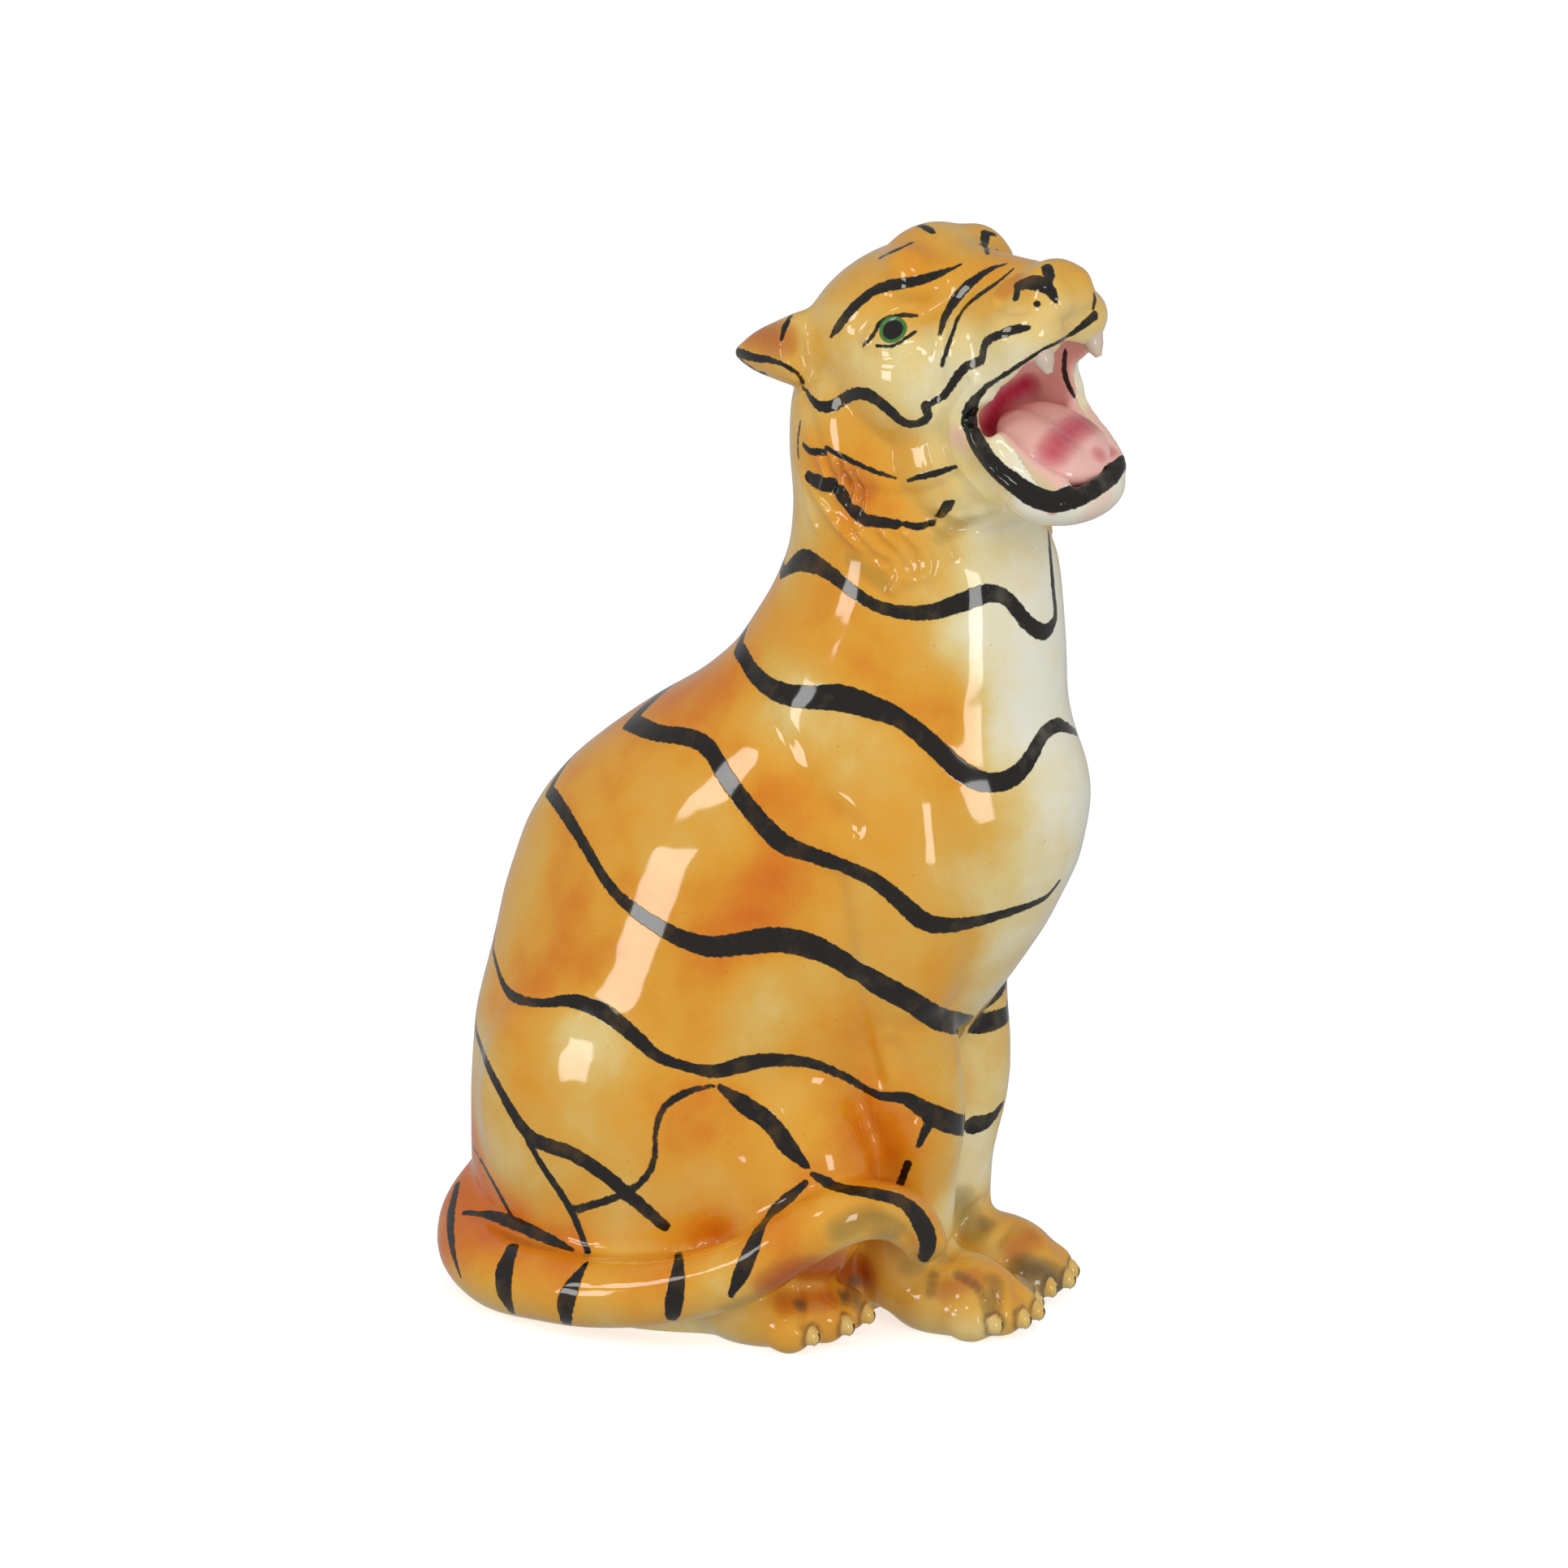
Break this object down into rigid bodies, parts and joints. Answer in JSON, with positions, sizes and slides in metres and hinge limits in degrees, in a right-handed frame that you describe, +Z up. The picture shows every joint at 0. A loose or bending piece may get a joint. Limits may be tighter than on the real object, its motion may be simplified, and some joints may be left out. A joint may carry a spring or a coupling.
{
  "type": "ceramic tiger figurine",
  "caption": "Seated roaring tiger ornament in hand-painted glazed earthenware, head turned to its right, tail laid round the haunch.",
  "frame": {"origin": "middle of the figure's plan, on the plane it stands on", "axes": "+Z up; the tiger's chest faces -Y and its right side is -X"},
  "size_m": [0.188, 0.2856, 0.4443],
  "materials": {
    "glaze_orange": "glossy glaze",
    "glaze_ivory": "glossy glaze",
    "glaze_pink": "glossy glaze",
    "glaze_tooth": "glossy glaze",
    "glaze_umber": "glossy glaze"
  },
  "bodies": {
    "root": {"torso_shell": "glaze_orange", "head_shell": "glaze_orange", "lower_jaw": "glaze_ivory", "tongue": "glaze_pink", "upper_fang_right": "glaze_tooth", "upper_fang_left": "glaze_tooth", "ear_right": "glaze_orange", "ear_left": "glaze_orange", "tail": "glaze_orange", "foreleg_right": "glaze_orange", "foreleg_left": "glaze_orange", "hindpaw_right": "glaze_orange", "hindpaw_left": "glaze_orange", "forepaw_claw_right_1": "glaze_umber", "forepaw_claw_right_2": "glaze_umber", "forepaw_claw_right_3": "glaze_umber", "forepaw_claw_right_4": "glaze_umber", "forepaw_claw_left_1": "glaze_umber", "forepaw_claw_left_2": "glaze_umber", "forepaw_claw_left_3": "glaze_umber", "forepaw_claw_left_4": "glaze_umber", "hindpaw_claw_right_1": "glaze_umber", "hindpaw_claw_right_2": "glaze_umber", "hindpaw_claw_right_3": "glaze_umber", "hindpaw_claw_left_1": "glaze_umber", "hindpaw_claw_left_2": "glaze_umber", "hindpaw_claw_left_3": "glaze_umber"}
  },
  "joints": []
}
